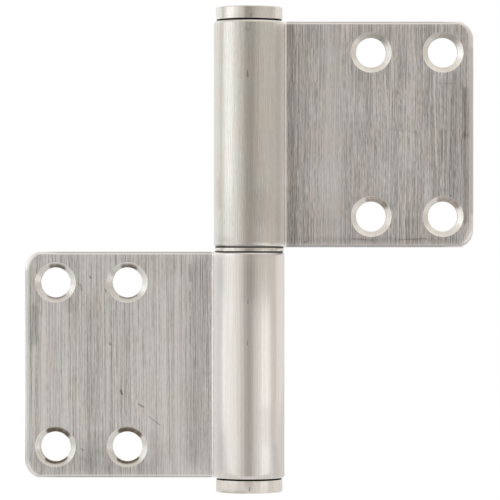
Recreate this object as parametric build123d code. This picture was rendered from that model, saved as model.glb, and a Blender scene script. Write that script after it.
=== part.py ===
from build123d import *

import math
import os

# Lift-off flag hinge in stainless steel, in millimetres.
#
# Two equal leaves are stamped from strip and rolled into barrels. The lower leaf is fixed to the frame
# and carries the pin. The upper leaf belongs to the door: it turns on the pin and lifts off upwards.
# A washer runs between the barrels, and a turned cap plugs the outer end of each one.
#
# Frame: +Z is up along the pin, +X points to the upper leaf's outer edge, and -Y is the front, where the
# screw holes are countersunk. The origin is on the pin's axis, half way through the washer.

# Strip and barrel
SHEET = 3.0  # thickness of the strip
BORE_D = 9.7  # inside of the rolled barrel
BARREL_LENGTH = 50.3  # height of one barrel and of its leaf
LEAF_REACH = 50.0  # pin axis to the leaf's outer edge
FOLD_GAP = 1.5  # gap between the leaves' front planes when the hinge is folded shut
BEND_R = 0.6  # inside radius where the leaf turns into the barrel
SEAM_GAP = 0.25  # slit at the back, where the roll ends beside the leaf
SHEAR_R = 0.3  # dubbed corner of the roll's free end

# Edges and corners of the leaf
EDGE_R = 0.7  # front edges of the leaf and rims of the barrel
BACK_BREAK = 0.3  # broken back edges of the leaf and rims of the bore
CORNER_RUN = 2.6  # how far a clipped corner cuts into the top and bottom edges
CORNER_RISE = 4.0  # how far it cuts into the outer edge, which it meets smoothly

# Screw holes
SCREW_BORE_D = 6.7
SINK_D = 9.1  # countersink's mouth on the front face
SINK_ANGLE = 104.0  # degrees, wall to wall
SCREW_PITCH_ACROSS = 16.0
SCREW_PITCH_UP = 36.6
SCREW_EDGE = 6.8  # outer pair of holes to the outer edge

# Washer
WASHER_THICKNESS = 1.0
WASHER_STEP = 0.15  # washer's rim inside the barrel's surface
WASHER_CLEARANCE = 0.15  # radial, round the pin
WASHER_BREAK = 0.2  # broken outer edges

# Pin
PIN_REACH = 37.0  # pin above the washer
PIN_CLEARANCE = 0.05  # radial, in the upper barrel
PIN_SEAT_DEPTH = 1.0  # top of the pressed length below the lower barrel's rim
PIN_NOSE = 3.0  # length of the lead-in that the upper barrel drops over
PIN_NOSE_TAPER = 1.2  # radius lost along it
PIN_FOOT_CHAMFER = 0.5

# Caps
CAP_HEAD = 2.8  # height of the head
CAP_STEP = 0.45  # head's side inside the barrel's surface
CAP_BREAK = 0.3  # broken outer edge of the head
CAP_LIP = 0.15  # broken inner edge of the head
CAP_GAP = 0.25  # narrow gap between the head and the barrel's end
CAP_COLLAR = 1.3  # width of the collar that seats on the barrel's end
SPIGOT_LENGTH = 7.0  # pressed length inside the barrel
SPIGOT_CHAMFER = 0.5

# Worked out from the sizes above
BORE_R = BORE_D / 2
BARREL_R = BORE_R + SHEET
FRONT_Y = FOLD_GAP / 2
BACK_Y = FRONT_Y + SHEET
SEAT_Z = WASHER_THICKNESS / 2
END_Z = SEAT_Z + BARREL_LENGTH
BEND_Y = FRONT_Y - BEND_R
BEND_X = math.sqrt((BARREL_R + BEND_R) ** 2 - BEND_Y**2)
BEND_TURN = math.atan2(BEND_Y, BEND_X)

OUTPUT = "parts"
TOUCH = 1e-4  # tolerance for picking edges by their place
CUT_PAST = 0.5  # how far a cutter runs past the face that it leaves


def polar(radius: float, angle: float, centre: tuple[float, float] = (0.0, 0.0)) -> tuple[float, float]:
    """Point at a radius and an angle in radians round a centre."""
    return centre[0] + radius * math.cos(angle), centre[1] + radius * math.sin(angle)


def arc(radius: float, start: float, end: float, centre: tuple[float, float] = (0.0, 0.0)) -> Edge:
    """Circular arc between two angles in radians, either way round."""
    middle = (start + end) / 2
    return ThreePointArc(*(polar(radius, angle, centre) for angle in (start, middle, end)))


def rolled_section() -> Face:
    """Section of a leaf across the pin: flat leaf, tight bend towards the front, and the roll round the bore.

    The roll starts where the bend meets the barrel, passes the front and the far side, and ends at the back,
    one seam gap short of the bend's outer side.
    """
    bend = (BEND_X, BEND_Y)
    bend_outside = BEND_R + SHEET
    bend_away = BARREL_R + BEND_R
    seam = math.acos(
        (BARREL_R**2 + bend_away**2 - (bend_outside + SEAM_GAP) ** 2) / (2 * BARREL_R * bend_away)
    )
    free_end = BEND_TURN + seam
    full_turn = 2 * math.pi
    towards_pin = math.pi + BEND_TURN
    quarter = math.pi / 2

    outline = [
        Line((LEAF_REACH, FRONT_Y), (BEND_X, FRONT_Y)),
        arc(BEND_R, quarter, towards_pin, bend),
        arc(BARREL_R, BEND_TURN, free_end - full_turn),
        Line(polar(BARREL_R, free_end), polar(BORE_R, free_end)),
        arc(BORE_R, free_end - full_turn, BEND_TURN),
        arc(bend_outside, towards_pin, quarter, bend),
        Line((BEND_X, BACK_Y), (LEAF_REACH, BACK_Y)),
        Line((LEAF_REACH, BACK_Y), (LEAF_REACH, FRONT_Y)),
    ]
    return make_face(outline)


def leaf_blank() -> Face:
    """Front outline of a leaf with its barrel, with the two outer corners clipped round."""
    far_side = -2 * BARREL_R
    corner_in = LEAF_REACH - CORNER_RUN
    top_in = BARREL_LENGTH - CORNER_RISE
    lower_corner = TangentArc((LEAF_REACH, CORNER_RISE), (corner_in, 0), tangent=(0, -1))
    upper_corner = TangentArc((LEAF_REACH, top_in), (corner_in, BARREL_LENGTH), tangent=(0, 1))
    outline = [
        Line((far_side, 0), (corner_in, 0)),
        lower_corner,
        Line((LEAF_REACH, CORNER_RISE), (LEAF_REACH, top_in)),
        upper_corner,
        Line((corner_in, BARREL_LENGTH), (far_side, BARREL_LENGTH)),
        Line((far_side, BARREL_LENGTH), (far_side, 0)),
    ]
    return Plane.XZ * make_face(outline)


def countersunk_hole(across: float, up: float) -> Part:
    """Cutter for one screw hole, sunk from the front face and clear through the back."""
    half_angle = math.radians(SINK_ANGLE / 2)
    bore_r = SCREW_BORE_D / 2
    mouth_r = SINK_D / 2
    sink_depth = (mouth_r - bore_r) / math.tan(half_angle)
    outside_r = mouth_r + CUT_PAST * math.tan(half_angle)
    profile = make_face(
        Polyline(
            (0, -CUT_PAST),
            (outside_r, -CUT_PAST),
            (bore_r, sink_depth),
            (bore_r, SHEET + CUT_PAST),
            (0, SHEET + CUT_PAST),
            close=True,
        )
    )
    cutter = revolve(Plane.XZ * profile, Axis.Z)
    return Plane(origin=(across, FRONT_Y, up), x_dir=(1, 0, 0), z_dir=(0, 1, 0)) * cutter


def screw_holes() -> list[Part]:
    """Cutters for the four holes of a leaf."""
    outer = LEAF_REACH - SCREW_EDGE
    middle = BARREL_LENGTH / 2
    return [
        countersunk_hole(across, middle + side * SCREW_PITCH_UP / 2)
        for across in (outer, outer - SCREW_PITCH_ACROSS)
        for side in (-1, 1)
    ]


def is_on_end(edge: Edge) -> bool:
    """Whether an edge lies in the top or bottom plane of a leaf."""
    box = edge.bounding_box()
    return any(max(abs(box.min.Z - z), abs(box.max.Z - z)) < TOUCH for z in (0, BARREL_LENGTH))


def lies_at_depth(edge: Edge, depth: float) -> bool:
    """Whether an edge lies in the leaf's front or back plane, clear of the bend."""
    box = edge.bounding_box()
    return box.min.X > BEND_X - TOUCH and max(abs(box.min.Y - depth), abs(box.max.Y - depth)) < TOUCH


def has_radius(edge: Edge, radius: float) -> bool:
    """Whether an edge is an arc of a given radius."""
    return edge.geom_type == GeomType.CIRCLE and abs(edge.radius - radius) < TOUCH


def leaf() -> Part:
    """One rolled leaf with its rim at z = 0 and its flag towards +X."""
    body = extrude(rolled_section(), BARREL_LENGTH)
    body = body & extrude(leaf_blank(), 2 * BARREL_R, both=True)

    shear = [
        edge
        for edge in body.edges().filter_by(Axis.Z)
        if abs(math.hypot(edge.center().X, edge.center().Y) - BARREL_R) < TOUCH
        and edge.center().Y > BARREL_R * math.sin(BEND_TURN) + TOUCH
    ]
    body = fillet(shear, SHEAR_R)

    front = [
        edge
        for edge in body.edges()
        if lies_at_depth(edge, FRONT_Y) or (is_on_end(edge) and has_radius(edge, BARREL_R))
    ]
    body = fillet(front, EDGE_R)
    back = [
        edge
        for edge in body.edges()
        if lies_at_depth(edge, BACK_Y) or (is_on_end(edge) and has_radius(edge, BORE_R))
    ]
    body = chamfer(back, BACK_BREAK)
    return body - screw_holes()


def turned(profile: Face) -> Part:
    """Solid of revolution about Z from a profile drawn as radius and height."""
    return revolve(Plane.XZ * profile, Axis.Z)


def washer() -> Part:
    """Flat ring that carries the upper barrel on the lower one."""
    inner = BORE_R - PIN_CLEARANCE + WASHER_CLEARANCE
    outer = BARREL_R - WASHER_STEP
    profile = make_face(
        Polyline(
            (inner, -SEAT_Z),
            (outer - WASHER_BREAK, -SEAT_Z),
            (outer, -SEAT_Z + WASHER_BREAK),
            (outer, SEAT_Z - WASHER_BREAK),
            (outer - WASHER_BREAK, SEAT_Z),
            (inner, SEAT_Z),
            close=True,
        )
    )
    return turned(profile)


def hinge_pin() -> Part:
    """Pin pressed into the lower barrel, a little slimmer where the upper barrel turns on it."""
    foot = -END_Z + SPIGOT_LENGTH
    run_r = BORE_R - PIN_CLEARANCE
    seat_top = -SEAT_Z - PIN_SEAT_DEPTH
    nose = SEAT_Z + PIN_REACH
    profile = make_face(
        Polyline(
            (0, foot),
            (BORE_R - PIN_FOOT_CHAMFER, foot),
            (BORE_R, foot + PIN_FOOT_CHAMFER),
            (BORE_R, seat_top),
            (run_r, seat_top),
            (run_r, nose - PIN_NOSE),
            (run_r - PIN_NOSE_TAPER, nose),
            (0, nose),
            close=True,
        )
    )
    return turned(profile)


def cap() -> Part:
    """Plug for the upper barrel's end: chamfered spigot, seating collar and head with broken edges."""
    head_r = BARREL_R - CAP_STEP
    collar_r = BORE_R + BACK_BREAK + CAP_COLLAR
    foot = END_Z - SPIGOT_LENGTH
    under_head = END_Z + CAP_GAP
    top = under_head + CAP_HEAD
    profile = make_face(
        Polyline(
            (0, foot),
            (BORE_R - SPIGOT_CHAMFER, foot),
            (BORE_R, foot + SPIGOT_CHAMFER),
            (BORE_R, END_Z),
            (collar_r, END_Z),
            (collar_r, under_head),
            (head_r - CAP_LIP, under_head),
            (head_r, under_head + CAP_LIP),
            (head_r, top - CAP_BREAK),
            (head_r - CAP_BREAK, top),
            (0, top),
            close=True,
        )
    )
    return turned(profile)


def build() -> dict[str, Part]:
    """Every piece of the hinge in its place, opened flat."""
    turned_over = Rot(0, 180, 0)
    upper_leaf = Pos(0, 0, SEAT_Z) * leaf()
    upper_cap = cap()
    return {
        "upper_leaf": upper_leaf,
        "lower_leaf": turned_over * upper_leaf,
        "hinge_pin": hinge_pin(),
        "thrust_washer": washer(),
        "upper_cap": upper_cap,
        "lower_cap": turned_over * upper_cap,
    }


if __name__ == "__main__":
    os.makedirs(OUTPUT, exist_ok=True)
    for node, piece in build().items():
        export_step(piece, os.path.join(OUTPUT, node + ".step"))
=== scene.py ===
"""Looks of a lift-off flag hinge: brushed leaves, ground pin, turned washer and caps, in a pale studio."""

import logging
import math
from collections.abc import Sequence
from dataclasses import dataclass, field, replace
from enum import Enum

import bpy
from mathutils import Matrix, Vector
from mathutils.geometry import delaunay_2d_cdt


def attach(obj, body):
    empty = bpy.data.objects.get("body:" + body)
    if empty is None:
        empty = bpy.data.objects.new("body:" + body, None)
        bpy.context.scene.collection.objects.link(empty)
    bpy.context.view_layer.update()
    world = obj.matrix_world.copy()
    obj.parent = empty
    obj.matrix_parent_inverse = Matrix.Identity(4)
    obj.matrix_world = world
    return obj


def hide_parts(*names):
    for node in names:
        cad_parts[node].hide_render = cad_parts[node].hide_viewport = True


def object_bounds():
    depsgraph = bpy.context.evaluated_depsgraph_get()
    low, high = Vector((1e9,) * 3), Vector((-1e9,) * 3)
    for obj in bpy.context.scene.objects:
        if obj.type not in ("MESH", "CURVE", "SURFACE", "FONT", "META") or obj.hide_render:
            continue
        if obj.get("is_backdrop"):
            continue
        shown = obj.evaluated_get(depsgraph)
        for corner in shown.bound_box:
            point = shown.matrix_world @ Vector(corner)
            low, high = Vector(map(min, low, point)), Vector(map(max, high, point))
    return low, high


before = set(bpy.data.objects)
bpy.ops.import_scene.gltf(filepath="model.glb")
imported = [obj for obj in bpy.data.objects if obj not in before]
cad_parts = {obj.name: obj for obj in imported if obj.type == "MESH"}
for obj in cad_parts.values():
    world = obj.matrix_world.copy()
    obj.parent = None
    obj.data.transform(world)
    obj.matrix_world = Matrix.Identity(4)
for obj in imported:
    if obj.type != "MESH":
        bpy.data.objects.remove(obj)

LOG = logging.getLogger("hinge")
MM = 0.001  # a millimetre in metres

# What the meshes carry for the materials
UV_NAME = "UVMap"  # place across and along the lines, in millimetres
RIM_NAME = "rim"  # wear, which on the edges also carries painted highlight
ROLL_NAME = "roll"  # 0 on the flat, 1 where the roll has lost the flat's finish
DIRT_AND_SHADE_NAME = "soil"  # where painted shade goes: gaps between parts, the screw holes' bores and the leaves' upper and lower front edges
SUNK_NAME = "sunk"  # faces of the countersinks
RUN_NAME = "run"  # way along a turned piece's profile, in millimetres

# Spans of the roll's number in which its looks change
BEND_STARTS = (0.0, 0.03)  # the bend's light line, glossier and with a painted highlight, comes in
BEND_ENDS = (0.1, 0.15)  # and goes out
TURNS_ROLLED = (0.0, 0.15)  # the flat's looks give way to the roll's
TURNS_GLOSSY = (0.45, 1.0)  # the roll's matt part gives way to its glossy part

# Shifts that keep patterns and maps apart
HAIR_SHIFT = 17.3  # from one scale of lines to the next
SCRATCH_SHIFT = 91.0  # of the long scratches
PATCH_SHIFT = 53.0  # of the broad patches
ROW_SHIFT = 40.0  # from one row of screw holes to the other, in millimetres
BACK_SHIFT = 140.0  # from a leaf's front to its back, in millimetres

# Meshes
CREASE = 38.0  # degrees past which an edge stays hard
WELD = 2e-7  # metres within which corners of a turned piece are one
SINK_WELD = 2e-6  # metres within which a countersink joins its leaf
TINY = 1e-6  # millimetres, or share of a turn, that count as none

Point = tuple[float, float]
Corner = tuple[float, float, float]
Colour = tuple[float, float, float]
Socket = bpy.types.NodeSocket
Value = Socket | bpy.types.ID | float | int | bool | str | Sequence[float]
Inputs = dict[str | int, Value]


class Side(Enum):
    """The door's half of the hinge above the washer, or the frame's half below it."""

    UPPER = "upper"
    LOWER = "lower"

    @property
    def body(self) -> str:
        """CAD body that carries this half."""
        return "door_side" if self is Side.UPPER else "frame_side"

    @property
    def turn(self) -> float:
        """Turn about Y, in radians, that takes the upper half to this one."""
        return 0.0 if self is Side.UPPER else math.pi


class NodeBench:
    """Adds and joins nodes in one node tree."""

    def __init__(self, tree: bpy.types.NodeTree) -> None:
        """Starts on a tree."""
        self.tree = tree

    def feed(self, socket: Socket, value: Value) -> None:
        """Joins a socket to an input, or sets the input's own value.

        Args:
            socket: The input.
            value: An output socket or a constant.
        """
        if isinstance(value, Socket):
            self.tree.links.new(value, socket)
        else:
            socket.default_value = value

    def add(self, kind: str, inputs: Inputs | None = None, **settings: object) -> bpy.types.Node:
        """Adds a node.

        Args:
            kind: The node's type name.
            inputs: What goes into it, by the inputs' names or numbers.
            settings: Properties to set on it first.

        Returns:
            The new node.
        """
        node = self.tree.nodes.new(kind)
        for name, value in settings.items():
            setattr(node, name, value)
        for key, value in (inputs or {}).items():
            self.feed(node.inputs[key], value)
        return node

    def math(self, operation: str, *values: Value) -> Socket:
        """Adds a sum on numbers and gives its result."""
        return self.add("ShaderNodeMath", dict(enumerate(values)), operation=operation).outputs[0]

    def span(self, value: Value, source: Point, target: Point = (0.0, 1.0)) -> Socket:
        """Maps a span of numbers to another one, clamped and smooth."""
        inputs = dict(enumerate((value, *source, *target)))
        return self.add("ShaderNodeMapRange", inputs, interpolation_type="SMOOTHSTEP").outputs[0]

    def between(self, share: Socket, start: float, end: float) -> Socket:
        """Adds a number that runs evenly from one value to another."""
        return self.math("MULTIPLY_ADD", share, end - start, start)

    def join_xyz(self, *parts: Value) -> Socket:
        """Joins three numbers into a vector."""
        return self.add("ShaderNodeCombineXYZ", dict(enumerate(parts))).outputs[0]

    def split_xyz(self, vector: Socket) -> list[Socket]:
        """Splits a vector into three numbers."""
        return list(self.add("ShaderNodeSeparateXYZ", {0: vector}).outputs)

    def blend(self, share: Value, first: Value, second: Value, mode: str = "MIX") -> Socket:
        """Lays a second colour over a first one by a share from 0 to 1."""
        inputs = {0: share, 6: first, 7: second}
        return self.add("ShaderNodeMix", inputs, data_type="RGBA", blend_type=mode).outputs[2]


def opaque(colour: Colour) -> tuple[float, float, float, float]:
    """Colour with full alpha, as node sockets take it."""
    return (*colour, 1.0)


class ShapeTree(NodeBench):
    """A Geometry Nodes tree with named inputs, and the values that a modifier gives them."""

    def __init__(self, name: str) -> None:
        """Makes an empty tree with geometry in and out.

        Args:
            name: The tree's name.
        """
        super().__init__(bpy.data.node_groups.new(name, "GeometryNodeTree"))
        self.tree.interface.new_socket("Geometry", in_out="INPUT", socket_type="NodeSocketGeometry")
        self.tree.interface.new_socket("Geometry", in_out="OUTPUT", socket_type="NodeSocketGeometry")
        self.source = self.add("NodeGroupInput")
        self.values: dict[str, object] = {}

    def size(self, name: str, value: float, kind: str = "NodeSocketFloat") -> Socket:
        """Adds a named input.

        Args:
            name: The input's name.
            value: What the modifier sets it to.
            kind: The socket's type name.

        Returns:
            The socket that carries it in the tree.
        """
        item = self.tree.interface.new_socket(name, in_out="INPUT", socket_type=kind)
        self.values[item.identifier] = value
        return self.source.outputs[name]

    def chain(self, kind: str, geometry: Socket, **inputs: Value) -> Socket:
        """Adds a node that takes geometry first and gives geometry first.

        Args:
            kind: The node's type name, without the start that all of them share.
            geometry: The geometry to pass on.
            inputs: Further inputs by name, with spaces written as underscores.

        Returns:
            The changed geometry's socket.
        """
        named = {name.replace("_", " "): value for name, value in inputs.items()}
        return self.add("GeometryNode" + kind, {0: geometry, **named}).outputs[0]

    def place(self) -> Socket:
        """Reads where each corner is."""
        return self.add("GeometryNodeInputPosition").outputs[0]

    def named(self, name: str, kind: str = "FLOAT") -> Socket:
        """Reads what the mesh carries under a name."""
        return self.add("GeometryNodeInputNamedAttribute", {"Name": name}, data_type=kind).outputs[0]

    def keep(self, geometry: Socket, name: str, kind: str, domain: str, value: Value) -> Socket:
        """Stores a value of some data type on a domain of the mesh under a name."""
        inputs = {"Geometry": geometry, "Name": name, "Value": value}
        return self.add("GeometryNodeStoreNamedAttribute", inputs, data_type=kind, domain=domain).outputs[0]

    def sampled(self, geometry: Socket, kind: str, value: Value, number: Value) -> Socket:
        """Reads a value of some data type at one corner of a mesh."""
        inputs = {"Geometry": geometry, "Value": value, "Index": number}
        return self.add("GeometryNodeSampleIndex", inputs, data_type=kind, domain="POINT").outputs[0]

    def chosen(self, test: Value, without: Value, with_it: Value) -> Socket:
        """Picks one of two numbers, the second where a test gives 1."""
        inputs = dict(enumerate((test, without, with_it)))
        return self.add("GeometryNodeSwitch", inputs, input_type="FLOAT").outputs[0]

    def grid(self, across: Value, up: Value, columns: Value, rows: Value) -> Socket:
        """Adds a flat grid of corners about the origin."""
        inputs = {"Size X": across, "Size Y": up, "Vertices X": columns, "Vertices Y": rows}
        return self.add("GeometryNodeMeshGrid", inputs).outputs[0]

    def smooth(self, geometry: Socket, crease: Value) -> Socket:
        """Shades a mesh smooth, with edges sharper than an angle left hard.

        Args:
            geometry: The mesh.
            crease: The angle in radians.

        Returns:
            The shaded mesh.
        """
        soft = self.chain("SetShadeSmooth", geometry, Shade_Smooth=True)
        angle = self.add("GeometryNodeInputMeshEdgeAngle").outputs["Unsigned Angle"]
        sharp = self.math("GREATER_THAN", angle, crease)
        inputs = {"Geometry": soft, "Selection": sharp, "Shade Smooth": False}
        return self.add("GeometryNodeSetShadeSmooth", inputs, domain="EDGE").outputs[0]

    def deliver(self, geometry: Socket) -> None:
        """Sends geometry to the tree's output."""
        self.feed(self.add("NodeGroupOutput").inputs[0], geometry)

    def bake(self, mesh: bpy.types.Mesh, name: str) -> bpy.types.Object:
        """Runs the tree on a mesh and keeps the result as a plain mesh.

        Args:
            mesh: What goes into the tree.
            name: The finished object's name.

        Returns:
            An object at the origin with the finished mesh.
        """
        host = bpy.data.objects.new(name + ".host", mesh)
        bpy.context.scene.collection.objects.link(host)
        modifier = host.modifiers.new("shape", "NODES")
        modifier.node_group = self.tree
        for identifier, value in self.values.items():
            modifier[identifier] = value
        shading = host.modifiers.new("even shading", "WEIGHTED_NORMAL")
        shading.keep_sharp = True
        view = bpy.context.evaluated_depsgraph_get()
        baked = bpy.data.meshes.new_from_object(
            host.evaluated_get(view), preserve_all_data_layers=True, depsgraph=view
        )
        baked.name = name
        numbers = [face.material_index for face in baked.polygons]
        used = sorted(set(numbers))
        finishes = [baked.materials[number] for number in used]
        baked.materials.clear()
        for finish in finishes:
            baked.materials.append(finish)
        baked.polygons.foreach_set("material_index", [used.index(number) for number in numbers])
        bpy.data.objects.remove(host)
        bpy.data.meshes.remove(mesh)
        piece = bpy.data.objects.new(name, baked)
        bpy.context.scene.collection.objects.link(piece)
        return piece


@dataclass(frozen=True)
class Hair:
    """One scale of brush or lathe lines."""

    width: float  # typical width across the lines, in millimetres
    length: float  # typical length along them, in millimetres
    weight: float  # share in the tone
    slant: float = 0.0  # drift across for each millimetre along
    detail: float = 2.0  # finer scales within it


@dataclass(frozen=True)
class Mark:
    """One nick, scratch, streak or smudge on a surface, or a band or spot of painted light or shade."""

    start: Point  # one end on the surface, across and along, in millimetres
    end: Point  # the other end
    width: float  # half width in millimetres
    depth: float  # how dark it is, or how light if below zero
    soft: float = 1.0  # share of the half width over which it fades


@dataclass(frozen=True)
class LinedSteel:
    """Steel with fine lines left by a brush or a lathe tool."""

    name: str  # the material's name
    dark: Colour  # colour in the lines' troughs
    light: Colour  # colour on their crests
    rough: Point  # lowest and highest roughness
    stretch: float  # anisotropy across the lines
    hairs: tuple[Hair, ...]  # scales of lines, of which the first makes the relief
    relief: float  # height of the lines in millimetres
    contrast: float = 0.22  # spread of tone that takes dark to light
    lean: float = 0.0  # shift of the tone's middle, above zero for few light lines on dark ones
    polish: float = 0.0  # how far worn edges lose their lines and take the light colour, as wear and painted highlight
    edge_gloss: float = 0.75  # roughness of worn edges as a share of the flat's
    roll_polish: float = 0.0  # how far worn edges lose their lines and take the light colour on a rolled part, as wear and painted highlight
    roll_lines: float = 1.0  # strength of the lines left on a rolled part
    roll_cast: Colour = (1.0, 1.0, 1.0)  # cast of a rolled part
    roll_gloss: float = 1.0  # roughness of a rolled part as a share of the flat's
    roll_shine: float = 0.0  # painted light: how far a rolled part is lighter than the flat
    bend_shine: float = 0.0  # painted light: the same on the matt part beside the bend
    bend_line: float = 0.0  # painted highlight: the same on the bend itself
    scratch: Hair | None = None  # scale and strength of long light scratches
    scratch_span: Point = (0.57, 0.7)  # noise at which they begin and are full
    patch: Hair | None = None  # scale and strength of broad patches
    patch_span: Point = (0.34, 0.66)  # noise at which a patch is all warm and all cool
    warm: Colour = (1.0, 1.0, 1.0)  # cast of a warm patch
    cool: Colour = (1.0, 1.0, 1.0)  # cast of a cool patch
    soil: Colour = (0.02, 0.017, 0.014)  # colour of dirt and nicks, and of painted shade
    soil_rough: float = 0.8  # roughness where painted shade is laid
    marks: tuple[Mark, ...] = ()  # single marks on the surface: nicks, scratches, smudges, and bands of painted light and shade
    mark_strength: Point = (1.2, 0.8)  # strength of the marks in the lines' troughs and on their crests
    seed: float = 0.0  # shift of the pattern

    def material(self) -> bpy.types.Material:
        """Builds the node material."""
        return SteelNodes(self).build()


class SteelNodes(NodeBench):
    """Nodes of one lined steel's material."""

    def __init__(self, steel: LinedSteel) -> None:
        """Starts the material and reads what the mesh says of rolled parts, worn edges and painted shade.

        Args:
            steel: The finish.
        """
        self.steel = steel
        self.material = bpy.data.materials.new(steel.name)
        self.material.use_nodes = True
        super().__init__(self.material.node_tree)
        mapped = self.add("ShaderNodeUVMap", uv_map=UV_NAME).outputs[0]
        self.across, self.along, _ = self.split_xyz(mapped)
        rim, self.roll, self.soil = (
            self.add("ShaderNodeAttribute", attribute_name=name).outputs["Fac"]
            for name in (RIM_NAME, ROLL_NAME, DIRT_AND_SHADE_NAME)
        )
        self.rolled = self.span(self.roll, TURNS_ROLLED)
        before_end = self.span(self.roll, BEND_ENDS, (1.0, 0.0))
        self.crisp = self.math("MULTIPLY", self.span(self.roll, BEND_STARTS), before_end)
        self.worn = self.math("MULTIPLY", rim, self.between(self.rolled, steel.polish, steel.roll_polish))
        self.lined = self.between(self.rolled, 1.0, steel.roll_lines)

    def noise(self, hair: Hair, shift: float) -> Socket:
        """Adds one scale of lines as stretched noise about one half.

        Args:
            hair: The scale.
            shift: Shift of the pattern beyond the finish's own.

        Returns:
            The noise's socket.
        """
        shift += self.steel.seed
        x = self.math("MULTIPLY_ADD", self.along, hair.slant, self.across)
        x = self.math("MULTIPLY_ADD", x, 1.0 / hair.width, shift)
        y = self.math("MULTIPLY_ADD", self.along, 1.0 / hair.length, -shift)
        inputs = {"Vector": self.join_xyz(x, y, 0.0), "Scale": 1.0, "Detail": hair.detail}
        return self.add("ShaderNodeTexNoise", inputs, noise_dimensions="2D").outputs[0]

    def cover(self, mark: Mark) -> Socket:
        """Adds a mark's share of cover, from the distance to the line between its ends.

        Args:
            mark: The mark.

        Returns:
            The share's socket.
        """
        run = Vector(mark.end) - Vector(mark.start)
        dx = self.math("SUBTRACT", self.across, mark.start[0])
        dy = self.math("SUBTRACT", self.along, mark.start[1])
        foot = self.math("MULTIPLY", dx, run.x / run.length_squared)
        foot = self.math("MULTIPLY_ADD", dy, run.y / run.length_squared, foot)
        foot = self.math("MINIMUM", self.math("MAXIMUM", foot, 0.0), 1.0)
        dx = self.math("MULTIPLY_ADD", foot, -run.x, dx)
        dy = self.math("MULTIPLY_ADD", foot, -run.y, dy)
        away = self.math("SQRT", self.math("MULTIPLY_ADD", dx, dx, self.math("MULTIPLY", dy, dy)))
        fade = (mark.width * (1 - mark.soft), mark.width * (1 + mark.soft))
        return self.span(away, fade, (abs(mark.depth), 0.0))

    def lines(self) -> tuple[Socket, Socket]:
        """Adds every scale of lines.

        Returns:
            The tone of all scales together, fainter on the roll, and the noise of the first alone.
        """
        steel = self.steel
        noises = [self.noise(hair, HAIR_SHIFT * i) for i, hair in enumerate(steel.hairs)]
        total: Value = 0.0
        for hair, noise in zip(steel.hairs, noises):
            total = self.math("MULTIPLY_ADD", noise, hair.weight, total)
        middle = 0.5 + steel.lean
        tone = self.span(total, (middle - steel.contrast, middle + steel.contrast))
        return self.math("MULTIPLY_ADD", self.math("SUBTRACT", tone, 0.5), self.lined, 0.5), noises[0]

    def tinted(self, colour: Socket) -> Socket:
        """Lays long scratches and broad warm and cool patches over a colour.

        Args:
            colour: Colour of the lines.

        Returns:
            The colour with scratches and patches.
        """
        steel = self.steel
        if steel.scratch:
            noise = self.noise(steel.scratch, SCRATCH_SHIFT)
            share = self.span(noise, steel.scratch_span, (0.0, steel.scratch.weight))
            colour = self.blend(self.math("MULTIPLY", share, self.lined), colour, opaque(steel.light))
        if steel.patch:
            share = self.span(self.noise(steel.patch, PATCH_SHIFT), steel.patch_span)
            cast = self.blend(share, opaque(steel.warm), opaque(steel.cool))
            colour = self.blend(steel.patch.weight, colour, cast, "MULTIPLY")
        return colour

    def bared(self, colour: Socket) -> Socket:
        """Lays the light colour on worn edges as wear and painted highlight, on the bend as a painted
        highlight, and beside the bend and on the roll as painted light, and gives the roll its cast.

        Args:
            colour: Colour without that light colour.

        Returns:
            The colour with that light colour.
        """
        steel = self.steel
        # Painted light beside the bend and on the roll, and a painted highlight on the bend
        painted_light = self.span(self.roll, TURNS_GLOSSY, (steel.bend_shine, steel.roll_shine))
        painted_light_share = self.math("MULTIPLY", self.rolled, painted_light)
        painted_light_share = self.math("MAXIMUM", painted_light_share, self.math("MULTIPLY", self.crisp, steel.bend_line))
        colour = self.blend(self.math("MAXIMUM", painted_light_share, self.worn), colour, opaque(steel.light))
        return self.blend(self.rolled, colour, opaque(steel.roll_cast), "MULTIPLY")

    def marked(self, colour: Socket, tone: Socket) -> Socket:
        """Lays the single marks over a colour, a little uneven along the lines.

        Args:
            colour: Colour without marks.
            tone: Tone of the lines.

        Returns:
            The colour with marks.
        """
        uneven = self.span(tone, (0.0, 1.0), self.steel.mark_strength)
        for mark in self.steel.marks:
            # Dark marks take the colour of dirt and painted shade, light ones the crests' colour, for
            # scratches and painted light alike
            paint = self.steel.soil if mark.depth > 0 else self.steel.light
            colour = self.blend(self.math("MULTIPLY", self.cover(mark), uneven), colour, opaque(paint))
        return colour

    def roughness(self, tone: Socket) -> Socket:
        """Adds the roughness: lower on crests, worn edges, the bend and the roll, and high where painted
        shade is laid.

        Args:
            tone: Tone of the lines.

        Returns:
            The roughness's socket.
        """
        lowest, highest = self.steel.rough
        rough = self.span(tone, (0.0, 1.0), (highest, lowest))
        glossy = self.math("MAXIMUM", self.crisp, self.span(self.roll, TURNS_GLOSSY))
        for share, least in ((self.worn, self.steel.edge_gloss), (glossy, self.steel.roll_gloss)):
            rough = self.math("MULTIPLY", rough, self.between(share, 1.0, least))
        return self.math("MAXIMUM", rough, self.math("MULTIPLY", self.soil, self.steel.soil_rough))

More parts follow.
